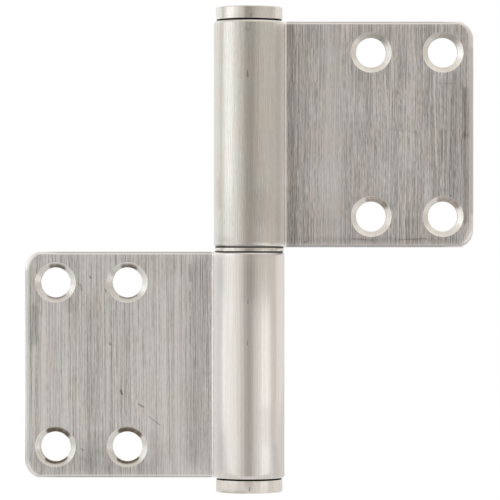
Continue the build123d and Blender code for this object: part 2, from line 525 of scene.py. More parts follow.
    def build(self) -> bpy.types.Material:
        """Joins everything up in the material.

        Returns:
            The finished material.
        """
        steel = self.steel
        tone, finest = self.lines()
        colour = self.tinted(self.blend(tone, opaque(steel.dark), opaque(steel.light)))
        colour = self.marked(self.bared(colour), tone)
        strength = self.math("MULTIPLY", self.lined, self.math("SUBTRACT", 1.0, self.worn))
        relief = {"Strength": strength, "Distance": steel.relief * MM, "Height": finest}
        tangent = self.add("ShaderNodeTangent", direction_type="UV_MAP", uv_map=UV_NAME)
        surface: Inputs = {
            # Painted shade, laid where the mesh carries it
            "Base Color": self.blend(self.soil, colour, opaque(steel.soil)),
            "Roughness": self.roughness(tone),
            "Metallic": 1.0,
            "Anisotropic": steel.stretch,
            "Normal": self.add("ShaderNodeBump", relief).outputs[0],
            "Tangent": tangent.outputs[0],
        }
        for name, value in surface.items():
            self.feed(self.tree.nodes["Principled BSDF"].inputs[name], value)
        return self.material


@dataclass(frozen=True)
class Turned:
    """A piece of revolution about Z, made by Geometry Nodes from a profile of radius and height."""

    name: str  # the finished piece's name
    profile: tuple[Point, ...]  # radius and height of corners, in millimetres, the outside on their right
    finish: LinedSteel  # the steel that it is dressed in
    soiled: frozenset[int] = frozenset()  # numbers of the profile's corners with painted shade on them
    steps: int = 96  # facets round the axis
    tip: float = 0.0  # turn about X in radians after turning, for a piece whose axis isn't Z
    flip: float = 0.0  # turn about Y in radians after turning

    def outline(self) -> bpy.types.Mesh:
        """Mesh of the profile's corners alone, in order along X and Z.

        Returns:
            The mesh, with the way along the profile and the painted shade at each corner.
        """
        mesh = bpy.data.meshes.new(self.name + ".profile")
        mesh.from_pydata([(r * MM, 0.0, h * MM) for r, h in self.profile], [], [])
        run = mesh.attributes.new(RUN_NAME, "FLOAT", "POINT")
        soil = mesh.attributes.new(DIRT_AND_SHADE_NAME, "FLOAT", "POINT")
        length = 0.0
        for number, corner in enumerate(self.profile):
            length += math.dist(corner, self.profile[max(number - 1, 0)])
            run.data[number].value = length
            soil.data[number].value = float(number in self.soiled)
        return mesh

    def spun(self, tree: ShapeTree) -> Socket:
        """Turns the profile about Z and gives it a map along and across the tool lines.

        Args:
            tree: The piece's tree.

        Returns:
            The turned shape, open where its first and last facets meet.
        """
        steps = tree.size("Facets", self.steps, "NodeSocketInt")
        profile = tree.source.outputs["Geometry"]
        corners = tree.add("GeometryNodeAttributeDomainSize", {0: profile}, component="MESH")
        count = corners.outputs["Point Count"]
        last = tree.math("SUBTRACT", count, 1.0)
        grid = tree.grid(steps, last, tree.math("ADD", steps, 1.0), count)
        place = tree.place()
        x, y, _ = tree.split_xyz(place)
        turn = tree.math("ADD", tree.math("DIVIDE", x, steps), 0.5)
        number = tree.math("ROUND", tree.math("MULTIPLY_ADD", last, 0.5, y))

        corner = tree.sampled(profile, "FLOAT_VECTOR", place, number)
        radius, _, height = tree.split_xyz(corner)
        run = tree.sampled(profile, "FLOAT", tree.named(RUN_NAME), number)
        soil = tree.sampled(profile, "FLOAT", tree.named(DIRT_AND_SHADE_NAME), number)
        reach = max(r for r, _ in self.profile)
        round_length = tree.math("MULTIPLY", turn, math.tau * reach)
        unrolled = tree.join_xyz(run, round_length, 0.0)
        mapped = tree.keep(grid, UV_NAME, "FLOAT2", "CORNER", unrolled)
        mapped = tree.keep(mapped, DIRT_AND_SHADE_NAME, "FLOAT", "POINT", soil)

        angle = tree.math("MULTIPLY", turn, math.tau)
        x = tree.math("MULTIPLY", radius, tree.math("COSINE", angle))
        y = tree.math("MULTIPLY", radius, tree.math("SINE", angle))
        return tree.chain("SetPosition", mapped, Position=tree.join_xyz(x, y, height))

    def build(self) -> bpy.types.Object:
        """Turns the profile, closes it, tips or flips it, and dresses it.

        Returns:
            The finished piece.
        """
        tree = ShapeTree("turned piece")
        crease = tree.size("Crease Angle", math.radians(CREASE))
        tip = tree.size("Tip", self.tip)
        flip = tree.size("Flip", self.flip)
        shape = tree.chain("MergeByDistance", self.spun(tree), Distance=WELD)
        shape = tree.chain("Transform", shape, Rotation=tree.join_xyz(tip, flip, 0.0))
        shape = tree.smooth(shape, crease)
        shape = tree.chain("RealizeInstances", shape)
        tree.deliver(tree.chain("SetMaterial", shape, Material=self.finish.material()))
        return tree.bake(self.outline(), self.name)


@dataclass(frozen=True)
class LeafSizes:
    """Sizes of one stamped and rolled leaf, in millimetres."""

    sheet: float = 3.0  # thickness of the strip
    bore: float = 4.85  # inside radius of the barrel
    length: float = 50.3  # height of the barrel and the leaf
    reach: float = 50.0  # pin axis to the outer edge
    front: float = 0.75  # front face behind the pin's axis
    bend: float = 0.6  # inside radius of the bend beside the barrel
    seam: float = 0.25  # slit where the roll ends
    shear: float = 0.3  # rounding of the roll's free end
    edge: float = 0.7  # rounding of the front edges and rims
    edge_out: float = 1.2  # width of the rounding on the outer edge
    back: float = 0.3  # break of the back edges
    corner_run: float = 2.6  # corner's cut into the top and bottom edges
    corner_rise: float = 4.0  # corner's cut into the outer edge
    hole: float = 3.35  # radius of a screw hole
    sink: float = 4.55  # radius of a countersink's mouth
    sink_angle: float = 104.0  # angle of a countersink in degrees, wall to wall
    pitch_across: float = 16.0  # spacing of the holes along X
    pitch_up: float = 36.6  # spacing of the holes along Z
    hole_edge: float = 6.8  # outer holes to the outer edge
    seat: float = 0.5  # rim of the barrel above the middle of the washer

    @property
    def barrel(self) -> float:
        """Outside radius of the barrel."""
        return self.bore + self.sheet

    @property
    def sink_depth(self) -> float:
        """Depth of a countersink."""
        return (self.sink - self.hole) / math.tan(math.radians(self.sink_angle / 2))

    @property
    def bend_centre(self) -> Point:
        """Centre of the bend beside the barrel."""
        y = self.front - self.bend
        return math.sqrt((self.barrel + self.bend) ** 2 - y**2), y

    @property
    def bend_turn(self) -> float:
        """Angle of the bend's centre round the pin, in radians."""
        x, y = self.bend_centre
        return math.atan2(y, x)

    @property
    def bend_length(self) -> float:
        """Length of the front face along the bend."""
        return self.bend * (math.pi / 2 + self.bend_turn)

    @property
    def roll_length(self) -> float:
        """Length of the outside of the roll.

        Returns:
            The length from the bend to the free end.
        """
        away = self.barrel + self.bend
        clear = self.bend + self.sheet + self.seam
        gap = math.acos((self.barrel**2 + away**2 - clear**2) / (2 * self.barrel * away))
        return self.barrel * (math.tau - gap)

    @property
    def flat_length(self) -> float:
        """Length of the flat leaf beyond the bend."""
        return self.reach - self.bend_centre[0]

    @property
    def holes(self) -> list[Point]:
        """Centres of the screw holes on the flat strip.

        Returns:
            The centres, inner holes first.
        """
        outer = self.flat_length - self.hole_edge
        middle = self.length / 2
        return [
            (across, middle + way * self.pitch_up / 2)
            for across in (outer - self.pitch_across, outer)
            for way in (-1, 1)
        ]


@dataclass
class Strip:
    """Mesh of the flat strip that a leaf is rolled from, in millimetres."""

    points: list[Corner] = field(default_factory=list)  # along the strip, below its front, and up
    rims: list[float] = field(default_factory=list)  # wear of each corner, up to 1 on the edges, where it also lays painted highlight
    soils: list[float] = field(default_factory=list)  # painted shade on each corner, on the rims and edges alone
    faces: list[list[int]] = field(default_factory=list)  # numbers of each face's corners
    maps: list[list[Point]] = field(default_factory=list)  # places of their corners on the brushed surface

    def loop(
        self, places: Sequence[Point], depths: Sequence[float], rim: float, soils: Sequence[float]
    ) -> list[int]:
        """Adds a row of corners.

        Args:
            places: Where they are on the strip.
            depths: How far each lies below the front face.
            rim: Their wear.
            soils: Painted shade on each.

        Returns:
            Their numbers.
        """
        first = len(self.points)
        self.points += [(s, depth, z) for (s, z), depth in zip(places, depths)]
        self.rims += [rim] * len(places)
        self.soils += soils
        return list(range(first, len(self.points)))

    def face(self, corners: Sequence[int], places: Sequence[Point]) -> None:
        """Adds a face with its map."""
        self.faces.append(list(corners))
        self.maps.append(list(places))

    def mesh(self, name: str, bend: float) -> bpy.types.Mesh:
        """Makes the Blender mesh, in metres, with its map, its wear and its painted shade.

        Args:
            name: The mesh's name.
            bend: Length over which the flat's finish turns into the roll's.

        Returns:
            The mesh.
        """
        mesh = bpy.data.meshes.new(name)
        mesh.from_pydata([(x * MM, y * MM, z * MM) for x, y, z in self.points], [], self.faces)
        layer = mesh.uv_layers.new(name=UV_NAME)
        for number, place in enumerate(place for face in self.maps for place in face):
            layer.uv[number].vector = place
        rolls = [min(max(-s / bend, 0.0), 1.0) for s, _, _ in self.points]
        for kind, numbers in ((RIM_NAME, self.rims), (ROLL_NAME, rolls), (DIRT_AND_SHADE_NAME, self.soils)):
            mesh.attributes.new(kind, "FLOAT", "POINT").data.foreach_set("value", numbers)
        return mesh


@dataclass(frozen=True)
class EdgeRow:
    """One row of corners round a strip's edge, with lengths in millimetres."""

    share: float  # distance inside the outline as a share of the rounding
    extra: float  # distance added to it
    at_end: float  # distance at the roll's free end
    depth: float = 0.0  # depth below the front face
    end_depth: float = 0.0  # depth at the roll's free end
    rim: float = 0.0  # wear, with painted highlight on the front edges
    soil: float = 0.0  # painted shade on the barrel's rims, where they meet the washer and the caps
    grime: float = 0.0  # painted shade on the leaf's upper and lower front edges


@dataclass
class RolledLeaf:
    """One leaf: a flat strip with countersunk holes, rolled into its barrel by Geometry Nodes."""

    side: Side  # which half of the hinge it belongs to
    finish: LinedSteel  # brushed steel of the strip
    sunk: LinedSteel  # cut steel of the countersinks
    sizes: LeafSizes = field(default_factory=LeafSizes)  # the leaf's sizes
    roll_steps: int = 132  # facets round the roll
    bend_steps: int = 10  # facets round the bend
    flat_steps: int = 8  # facets along the flat
    corner_steps: int = 14  # facets round a corner
    corner_skip: int = 4  # facets that its first one joins, so that rows further in don't cross
    edge_steps: int = 7  # facets round an edge
    hole_steps: int = 80  # facets round a hole
    sink_steps: int = 6  # facets down a countersink
    margin: float = 0.8  # width of the flat row inside the front edges, in millimetres
    end_margin: float = 0.05  # the same at the roll's free end
    lead: float = 0.3  # first facet of the flat beside the bend, in millimetres
    matt_run: float = 8.0  # length round the roll on which the flat's finish fades out, in millimetres
    edge_wear: float = 0.15  # wear, with painted highlight, where an edge's rounding starts
    back_wear: float = 0.8  # wear at the back's broken edges
    soil_steps: int = 2  # last facets of the rounding, over which painted shade comes in on the barrel's rims
    grime: float = 0.55  # painted shade along the leaf's upper and lower front edges
    grime_span: Point = (0.3, 0.6)  # shares of the rounding between which that painted shade comes in

    def stations(self) -> list[float]:
        """Places along the strip where the bottom and top edges have corners, free end first.

        Returns:
            The places, in millimetres from where the bend meets the flat.
        """
        sizes = self.sizes
        roll_start = -sizes.bend_length - sizes.roll_length
        roll = [roll_start + sizes.roll_length * i / self.roll_steps for i in range(self.roll_steps)]
        bend = [-sizes.bend_length * (1 - i / self.bend_steps) for i in range(self.bend_steps)]
        stop = sizes.flat_length - sizes.corner_run
        flat = [self.lead + (stop - self.lead) * i / self.flat_steps for i in range(self.flat_steps + 1)]
        return roll + bend + [0.0] + flat

    def corner(self) -> list[Point]:
        """Lower outer corner after its first point, from the bottom edge to the outer edge.

        Returns:
            Its points on the strip.
        """
        sizes = self.sizes
        radius = (sizes.corner_run**2 + sizes.corner_rise**2) / (2 * sizes.corner_run)
        start = math.asin(-sizes.corner_rise / radius)
        centre = sizes.flat_length - radius
        turns = [start * (1 - i / self.corner_steps) for i in range(self.corner_skip, self.corner_steps + 1)]
        return [(centre + radius * math.cos(a), sizes.corner_rise + radius * math.sin(a)) for a in turns]

    def outline(self) -> list[Point]:
        """Edge of the strip, anticlockwise seen from the front, from the free end's lower corner."""
        bottom = [(s, 0.0) for s in self.stations()] + self.corner()
        return bottom + [(s, self.sizes.length - z) for s, z in reversed(bottom)]

    def inset(self, share: float, extra: float, at_end: float) -> list[Point]:
        """Outline moved inwards.

        Args:
            share: Distance as a share of the rounding, which is wider on the outer edge.
            extra: Distance added to it.
            at_end: Distance at the roll's free end.

        Returns:
            The moved outline, point for point.
        """
        sizes = self.sizes
        outline = self.outline()
        count = len(outline)
        moved = []
        for i, here in enumerate(outline):
            sides = []
            for a, b in ((outline[i - 1], here), (here, outline[(i + 1) % count])):
                along = (Vector(b) - Vector(a)).normalized()
                width = sizes.edge + (sizes.edge_out - sizes.edge) * along.y**2
                is_end = abs(along.x) < TINY and a[0] < 0
                sides.append((Vector((-along.y, along.x)), at_end if is_end else share * width + extra))
            (n1, d1), (n2, d2) = sides
            turn = n1.x * n2.y - n1.y * n2.x
            if abs(turn) < TINY:
                step = n1 * d1
            else:
                step = Vector(((d1 * n2.y - d2 * n1.y) / turn, (n1.x * d2 - n2.x * d1) / turn))
            moved.append((here[0] + step.x, here[1] + step.y))
        return moved

    def fill(
        self, strip: Strip, ring: list[int], places: list[Point], radius: float, depth: float, back: bool
    ) -> None:
        """Closes the front or the back inside its edge, round the holes.

        Args:
            strip: The strip so far.
            ring: Corners of the edge in the outline's order.
            places: Their places on the strip.
            radius: Radius of the holes here.
            depth: Depth of this side below the front face.
            back: Whether this is the back.
        """
        count = self.roll_steps + self.bend_steps + 1
        total = len(ring)

        def add(corners: list[int]) -> None:
            """Adds one face, turned to look outwards.

            Args:
                corners: Its corners, anticlockwise seen from the front.
            """
            order = corners[::-1] if back else corners
            spots = [strip.points[c] for c in order]
            strip.face(order, [(-BACK_SHIFT - s, z) if back else (s, z) for s, _, z in spots])

        for i in range(count):
            add([ring[i], ring[i + 1], ring[total - 2 - i], ring[total - 1 - i]])

        flat = list(range(count, total - count))
        spots = [Vector(places[i]) for i in flat]
        numbers = [ring[i] for i in flat]
        edges = [(i, (i + 1) % len(flat)) for i in range(len(flat))]
        owners: list[Point | None] = [None] * len(flat)
        for centre in self.sizes.holes:
            turns = [math.tau * i / self.hole_steps for i in range(self.hole_steps)]
            circle = [(centre[0] + radius * math.cos(a), centre[1] - radius * math.sin(a)) for a in turns]
            first = len(spots)
            numbers += strip.loop(circle, [depth] * self.hole_steps, 0.0, [0.0] * self.hole_steps)
            spots += [Vector(spot) for spot in circle]
            owners += [centre] * self.hole_steps
            edges += [(first + i, first + (i + 1) % self.hole_steps) for i in range(self.hole_steps)]
        _, _, faces, origins, _, _ = delaunay_2d_cdt(spots, edges, [], 1, TINY)
        for face in faces:
            corners = [origins[c][0] for c in face]
            around = {owners[c] for c in corners}
            if len(around) > 1 or None in around:
                add([numbers[c] for c in corners])

    def edge_rows(self) -> list[EdgeRow]:
        """Rows round the strip's edge: a margin, the front's rounding, and the back's break.

        Returns:
            The rows, front first.
        """
        sizes = self.sizes
        start, full = self.grime_span
        rows = [
            EdgeRow(1.0, self.margin, sizes.shear + self.end_margin),
            EdgeRow(1.0, 0.0, sizes.shear, rim=self.edge_wear),
        ]
        for i in range(1, self.edge_steps + 1):
            turned = i / self.edge_steps
            share = 1 - math.sin(math.pi / 2 * turned)
            drop = 1 - math.cos(math.pi / 2 * turned)
            # Painted shade comes in on the barrel's rims and along the leaf's front edges
            soil = max(0.0, i + self.soil_steps - self.edge_steps) / self.soil_steps
            grime = self.grime * min(max((turned - start) / (full - start), 0.0), 1.0)
            depth, end_depth = sizes.edge * drop, sizes.shear * drop
            rows.append(EdgeRow(share, 0.0, sizes.shear * share, depth, end_depth, 1.0, soil, grime))
        rows.append(EdgeRow(0.0, 0.0, 0.0, sizes.sheet - sizes.back, sizes.sheet, self.back_wear, 1.0))
        rows.append(EdgeRow(0.0, sizes.back, 0.0, sizes.sheet, sizes.sheet))
        return rows

    def strip(self) -> Strip:
        """Builds the flat strip with rounded front edges, broken back edges and open holes.

        Returns:
            The strip.
        """
        sizes = self.sizes
        strip = Strip()
        outline = self.outline()
        count = len(outline)
        stop = sizes.flat_length - sizes.corner_run
        rows = self.edge_rows()
        rings, places, unrolled = [], [], []
        run = 0.0
        for number, row in enumerate(rows):
            spots = self.inset(row.share, row.extra, row.at_end)
            # Painted shade on the barrel's rims, and along the flat leaf's upper and lower edges
            soils = [row.soil if s < 0 else row.grime if s < stop else 0.0 for s, _ in outline]
            depths = [row.depth] * count
            depths[0] = depths[-1] = (row.depth + row.end_depth) / 2
            rings.append(strip.loop(spots, depths, row.rim, soils))
            places.append(spots)
            if number > 1:
                last = rows[number - 1]
                inwards = (last.share - row.share) * sizes.edge + last.extra - row.extra
                run += math.hypot(inwards, last.depth - row.depth)
                spots = self.inset(1.0, -run, -run)
            unrolled.append(spots)
        for upper, lower, spots, next_spots in zip(rings, rings[1:], unrolled, unrolled[1:]):
            for i in range(count):
                j = (i + 1) % count
                mapped = [spots[i], next_spots[i], next_spots[j], spots[j]]
                strip.face([upper[i], lower[i], lower[j], upper[j]], mapped)
        self.fill(strip, rings[0], places[0], sizes.sink, 0.0, back=False)
        self.fill(strip, rings[-1], places[-1], sizes.hole, sizes.sheet, back=True)
        return strip

    def sink_piece(self) -> bpy.types.Object:
        """Turns the wall of one screw hole of the flat strip, bore and countersink.

        Returns:
            The wall, with its axis along the strip's depth.
        """
        sizes = self.sizes
        shares = [i / self.sink_steps for i in range(self.sink_steps + 1)]
        cone = [(sizes.hole + (sizes.sink - sizes.hole) * a, sizes.sink_depth * (1 - a)) for a in shares]
        bore = [(sizes.hole, sizes.sheet), (sizes.hole, (sizes.sheet + sizes.sink_depth) / 2)]
        # Painted shade on the bore, fading out towards the countersink
        soiled = frozenset(range(len(bore)))
        name = f"{self.side.value}_countersink"
        return Turned(name, (*bore, *cone), self.sunk, soiled, self.hole_steps, tip=-math.pi / 2).build()

    def rolled_place(self, tree: ShapeTree) -> Socket:
        """Adds the rule that bends the flat strip: flat leaf, tight bend, then the roll round the bore.

        Args:
            tree: The leaf's tree.

        Returns:
            The rolled place of a point of the strip.
        """
        sizes = self.sizes
        bend_x, bend_y = sizes.bend_centre
        centre_x = tree.size("Bend Centre X", bend_x * MM)
        centre_y = tree.size("Bend Centre Y", bend_y * MM)
        bend = tree.size("Bend Radius", sizes.bend * MM)
        bend_length = tree.size("Bend Length", sizes.bend_length * MM)
        bend_turn = tree.size("Bend Turn", sizes.bend_turn)
        barrel = tree.size("Barrel Radius", sizes.barrel * MM)
        s, depth, height = tree.split_xyz(tree.place())

        flat_x = tree.math("ADD", centre_x, s)
        flat_y = tree.math("ADD", tree.math("ADD", centre_y, bend), depth)

        turn = tree.math("ADD", tree.math("DIVIDE", tree.math("MULTIPLY", s, -1.0), bend), math.pi / 2)
        away = tree.math("ADD", bend, depth)
        bent_x = tree.math("MULTIPLY_ADD", away, tree.math("COSINE", turn), centre_x)
        bent_y = tree.math("MULTIPLY_ADD", away, tree.math("SINE", turn), centre_y)

        past = tree.math("ADD", s, bend_length)
        angle = tree.math("ADD", tree.math("DIVIDE", past, barrel), bend_turn)
        radius = tree.math("SUBTRACT", barrel, depth)
        rolled_x = tree.math("MULTIPLY", radius, tree.math("COSINE", angle))
        rolled_y = tree.math("MULTIPLY", radius, tree.math("SINE", angle))

        result: list[Socket] = []
        for flat, bent, rolled in ((flat_x, bent_x, rolled_x), (flat_y, bent_y, rolled_y)):
            curved = tree.chosen(tree.math("LESS_THAN", past, 0.0), bent, rolled)
            result.append(tree.chosen(tree.math("LESS_THAN", s, 0.0), flat, curved))
        return tree.join_xyz(*result, height)

    def sinks(self, tree: ShapeTree, sink: bpy.types.Object) -> Socket:
        """Adds a turned wall for each screw hole, with a map of its own for each row of holes.

        Args:
            tree: The leaf's tree.
            sink: The turned wall.

        Returns:
            The walls in their places on the flat strip.
        """
        sizes = self.sizes
        middle = sizes.flat_length - sizes.hole_edge - sizes.pitch_across / 2
        across = tree.size("Hole Pitch Across", sizes.pitch_across * MM)
        up = tree.size("Hole Pitch Up", sizes.pitch_up * MM)
        middle_s = tree.size("Hole Pattern Middle", middle * MM)
        middle_z = tree.size("Leaf Middle", sizes.length / 2 * MM)
        centre = tree.join_xyz(middle_s, 0.0, middle_z)
        upright = (math.pi / 2, 0.0, 0.0)
        pattern = tree.chain("Transform", tree.grid(across, up, 2, 2), Translation=centre, Rotation=upright)
        model = tree.add("GeometryNodeObjectInfo", {"Object": sink})
        walls = tree.chain("InstanceOnPoints", pattern, Instance=model.outputs["Geometry"])
        walls = tree.chain("RealizeInstances", walls)
        walls = tree.keep(walls, SUNK_NAME, "BOOLEAN", "FACE", True)
        _, _, height = tree.split_xyz(tree.place())
        row = tree.math("GREATER_THAN", height, middle_z)
        u, v, _ = tree.split_xyz(tree.named(UV_NAME, "FLOAT_VECTOR"))
        shifted = tree.join_xyz(u, tree.math("MULTIPLY_ADD", row, ROW_SHIFT, v), 0.0)
        return tree.keep(walls, UV_NAME, "FLOAT2", "CORNER", shifted)

    def build(self) -> bpy.types.Object:
        """Sets the countersinks in the strip, rolls it, puts it in its place and dresses it.

        Returns:
            The finished leaf.
        """
        sink = self.sink_piece()
        tree = ShapeTree("rolled leaf")
        crease = tree.size("Crease Angle", math.radians(CREASE))
        seat = tree.size("Seat Height", self.sizes.seat * MM)
        turn = tree.size("Turn Over", self.side.turn)
        joined = tree.add("GeometryNodeJoinGeometry")
        for geometry in (self.sinks(tree, sink), tree.source.outputs["Geometry"]):
            tree.feed(joined.inputs[0], geometry)
        shape = tree.chain("MergeByDistance", joined.outputs[0], Distance=SINK_WELD)
        shape = tree.chain("SetPosition", shape, Position=self.rolled_place(tree))
        shape = tree.chain("Transform", shape, Translation=tree.join_xyz(0.0, 0.0, seat))
        shape = tree.chain("Transform", shape, Rotation=tree.join_xyz(0.0, turn, 0.0))
        shape = tree.smooth(shape, crease)
        shape = tree.chain("RealizeInstances", shape)
        shape = tree.chain("SetMaterial", shape, Material=self.finish.material())
        is_sunk = tree.named(SUNK_NAME, "BOOLEAN")
        cut_steel = sink.data.materials[0]
        tree.deliver(tree.chain("SetMaterial", shape, Selection=is_sunk, Material=cut_steel))
        strip = self.strip().mesh(f"{self.side.value}_strip", self.matt_run)
        piece = tree.bake(strip, f"{self.side.value}_leaf_brushed")
        bpy.data.objects.remove(sink)
        return placed_piece(piece, self.side.body, f"{self.side.value}_leaf")


def placed_piece(piece: bpy.types.Object, body: str, node: str) -> bpy.types.Object:
    """Lets a finished piece stand for its CAD node and move with its body.

    Args:
        piece: The piece.
        body: CAD body that it rides on.
        node: CAD node that it stands for.

    Returns:
        The piece.
    """
    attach(piece, body)
    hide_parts(node)
    return piece


@dataclass(frozen=True)
class PinSet:
    """The pin, the washer and the caps, all turned, with sizes in millimetres."""

    plain: LinedSteel  # turned steel of the washer
    upper: LinedSteel  # turned steel of the upper cap
    lower: LinedSteel  # turned steel of the lower cap
    ground: LinedSteel  # ground steel of the pin
    leaf: LeafSizes = LeafSizes()  # sizes of the leaves that they fit
    clearance: float = 0.05  # radial play of the upper barrel on the pin
    reach: float = 37.0  # pin above the washer
    seat_depth: float = 1.0  # top of the pin's pressed length below the lower rim
    nose: float = 3.0  # length of the pin's lead-in
    taper: float = 1.2  # radius lost along it
    foot: float = 0.5  # chamfer of the pin's foot and the caps' spigots
    washer_step: float = 0.15  # washer's rim inside the barrel's surface
    washer_play: float = 0.15  # radial play of the washer round the pin
    washer_break: float = 0.2  # broken edges of the washer
    washer_clean: int = 2  # corners of its profile without painted shade on each side of its rim's middle
    head: float = 2.8  # height of a cap's head
    head_step: float = 0.45  # head's side inside the barrel's surface
    head_break: float = 0.3  # broken outer edge of the head
    lip: float = 0.15  # broken inner edge of the head
    cap_dirt: tuple[int, int] = (2, 8)  # first corner of a cap's profile with painted shade, inside the barrel and in the gap under the head, and the next one without
    gap: float = 0.25  # gap between the head and the barrel's end
    collar: float = 1.3  # width of the collar that seats on the barrel's end
    spigot: float = 7.0  # length of a cap inside the barrel

    @property
    def end(self) -> float:
        """Outer end of the upper barrel above the middle of the washer."""
        return self.leaf.seat + self.leaf.length

    def washer(self) -> bpy.types.Object:
        """Ring between the barrels.

        Returns:
            The finished washer.
        """
        inner = self.leaf.bore - self.clearance + self.washer_play
        outer = self.leaf.barrel - self.washer_step
        half = self.leaf.seat
        cut = self.washer_break
        foot = rounded((outer, -half), (-1, 0), (0, 1), cut)
        crown = rounded((outer, half), (0, -1), (-1, 0), cut)
        profile = ((inner, 0.0), (inner, -half), *foot, (outer, 0.0), *crown, (inner, half), (inner, 0.0))
        middle = profile.index((outer, 0.0))
        # Painted shade on the washer's faces and bore, where it meets the barrels and the pin
        shaded_corners = frozenset(i for i in range(len(profile)) if abs(i - middle) > self.washer_clean)
        piece = Turned("thrust_washer_turned", profile, self.plain, shaded_corners).build()
        return placed_piece(piece, "washer", "thrust_washer")

    def pin(self) -> bpy.types.Object:
        """Pin pressed into the lower barrel.

        Returns:
            The finished pin.
        """
        run = self.leaf.bore - self.clearance
        foot = -self.end + self.spigot
        seat_top = -self.leaf.seat - self.seat_depth
        tip = self.leaf.seat + self.reach
        profile = (
            (0.0, foot),
            (self.leaf.bore - self.foot, foot),
            (self.leaf.bore, foot + self.foot),
            (self.leaf.bore, seat_top),
            (run, seat_top),
            (run, tip - self.nose),
            (run - self.taper, tip),
            (0.0, tip),
        )
        piece = Turned("hinge_pin_ground", profile, self.ground).build()
        return placed_piece(piece, "frame_side", "hinge_pin")

    def cap(self, side: Side) -> bpy.types.Object:
        """Plug in a barrel's outer end.

        Args:
            side: Which barrel it plugs.

        Returns:
            The finished cap.
        """
        bore = self.leaf.bore
        head = self.leaf.barrel - self.head_step
        collar = bore + self.leaf.back + self.collar
        under = self.end + self.gap
        top = under + self.head
        start = self.end - self.spigot
        profile = (
            (0.0, start),
            (bore - self.foot, start),
            (bore, start + self.foot),
            (bore, self.end),
            (collar, self.end),
            (collar, under),
            *rounded((head, under), (-1, 0), (0, 1), self.lip),
            *rounded((head, top), (0, -1), (-1, 0), self.head_break),
            (0.0, top),
        )
        # Painted shade inside the barrel and in the gap under the head
        shaded_corners = frozenset(range(*self.cap_dirt))
        finish = self.upper if side is Side.UPPER else self.lower
        piece = Turned(f"{side.value}_cap_turned", profile, finish, shaded_corners, flip=side.turn).build()
        return placed_piece(piece, side.body, f"{side.value}_cap")

    def build(self) -> list[bpy.types.Object]:
        """Makes every turned piece, in order."""
        return [self.pin(), self.washer(), self.cap(Side.UPPER), self.cap(Side.LOWER)]


def rounded(corner: Point, before: Point, after: Point, radius: float, steps: int = 6) -> list[Point]:
    """Rounds a square corner of a profile.

    Args:
        corner: The corner.
        before: Unit step from the corner back along the way in.
        after: Unit step from the corner along the way out.
        radius: Radius of the rounding.
        steps: Facets round it.

    Returns:
        Points round the corner.
    """
    points = []
    for i in range(steps + 1):
        a = math.pi / 2 * i / steps
        back = radius * (1 - math.sin(a))
        on = radius * (1 - math.cos(a))
        points.append(tuple(c + b * back + f * on for c, b, f in zip(corner, before, after)))
    return points


@dataclass(frozen=True)
class Card:
    """A soft card lamp beside the hinge."""

    turn: float  # degrees from the front, positive to the right
    height: float  # above the middle of the hinge, in metres
    level: float  # brightness as seen in a mirror, where 1 is white
    reach: float = 0.22  # distance from the pin's axis, in metres
    width: float = 0.13  # across, in metres
    tall: float = 0.11  # up, in metres

    def build(self) -> bpy.types.Object:
        """Hangs the lamp, facing the pin's axis.

        Returns:
            The lamp.
        """
        name = f"card_{self.turn:+.0f}_{self.height:+.2f}"
        lamp = bpy.data.lights.new(name, "AREA")
        lamp.shape = "RECTANGLE"
        lamp.size, lamp.size_y = self.width, self.tall
        lamp.energy = math.pi * self.width * self.tall * self.level
        card = bpy.data.objects.new(name, lamp)
        angle = math.radians(self.turn)
        card.location = (self.reach * math.sin(angle), -self.reach * math.cos(angle), self.height)
        card.rotation_euler = (math.pi / 2, 0.0, angle)
        card.visible_camera = False
        bpy.context.scene.collection.objects.link(card)
        return card


NEUTRAL_LIGHT = (1.01, 1.0, 0.955)
WARM_LIGHT = (1.08, 1.0, 0.89)
LIGHT_SCALE = 2.0  # a ramp holds colours up to 1, so light in it is divided by this


@dataclass(frozen=True)
class Glow:
    """Light from one direction round the hinge."""

    turn: float  # degrees from the front, positive to the right
    level: float  # brightness, where 1 is white
    warmth: float = 0.0  # from 0 for nearly neutral light to 1 for warm light

    @property
    def place(self) -> float:
        """Place on a ramp from 0 to 1, with the front in the middle."""
        return self.turn / 360.0 + 0.5

    def colour(self) -> Colour:
        """Colour of the light."""
        return tuple(self.level * Vector(NEUTRAL_LIGHT).lerp(Vector(WARM_LIGHT), self.warmth))


def dimmed(colour: Colour) -> tuple[float, float, float, float]:
    """Colour of light as a ramp holds it."""
    return opaque(tuple(part / LIGHT_SCALE for part in colour))


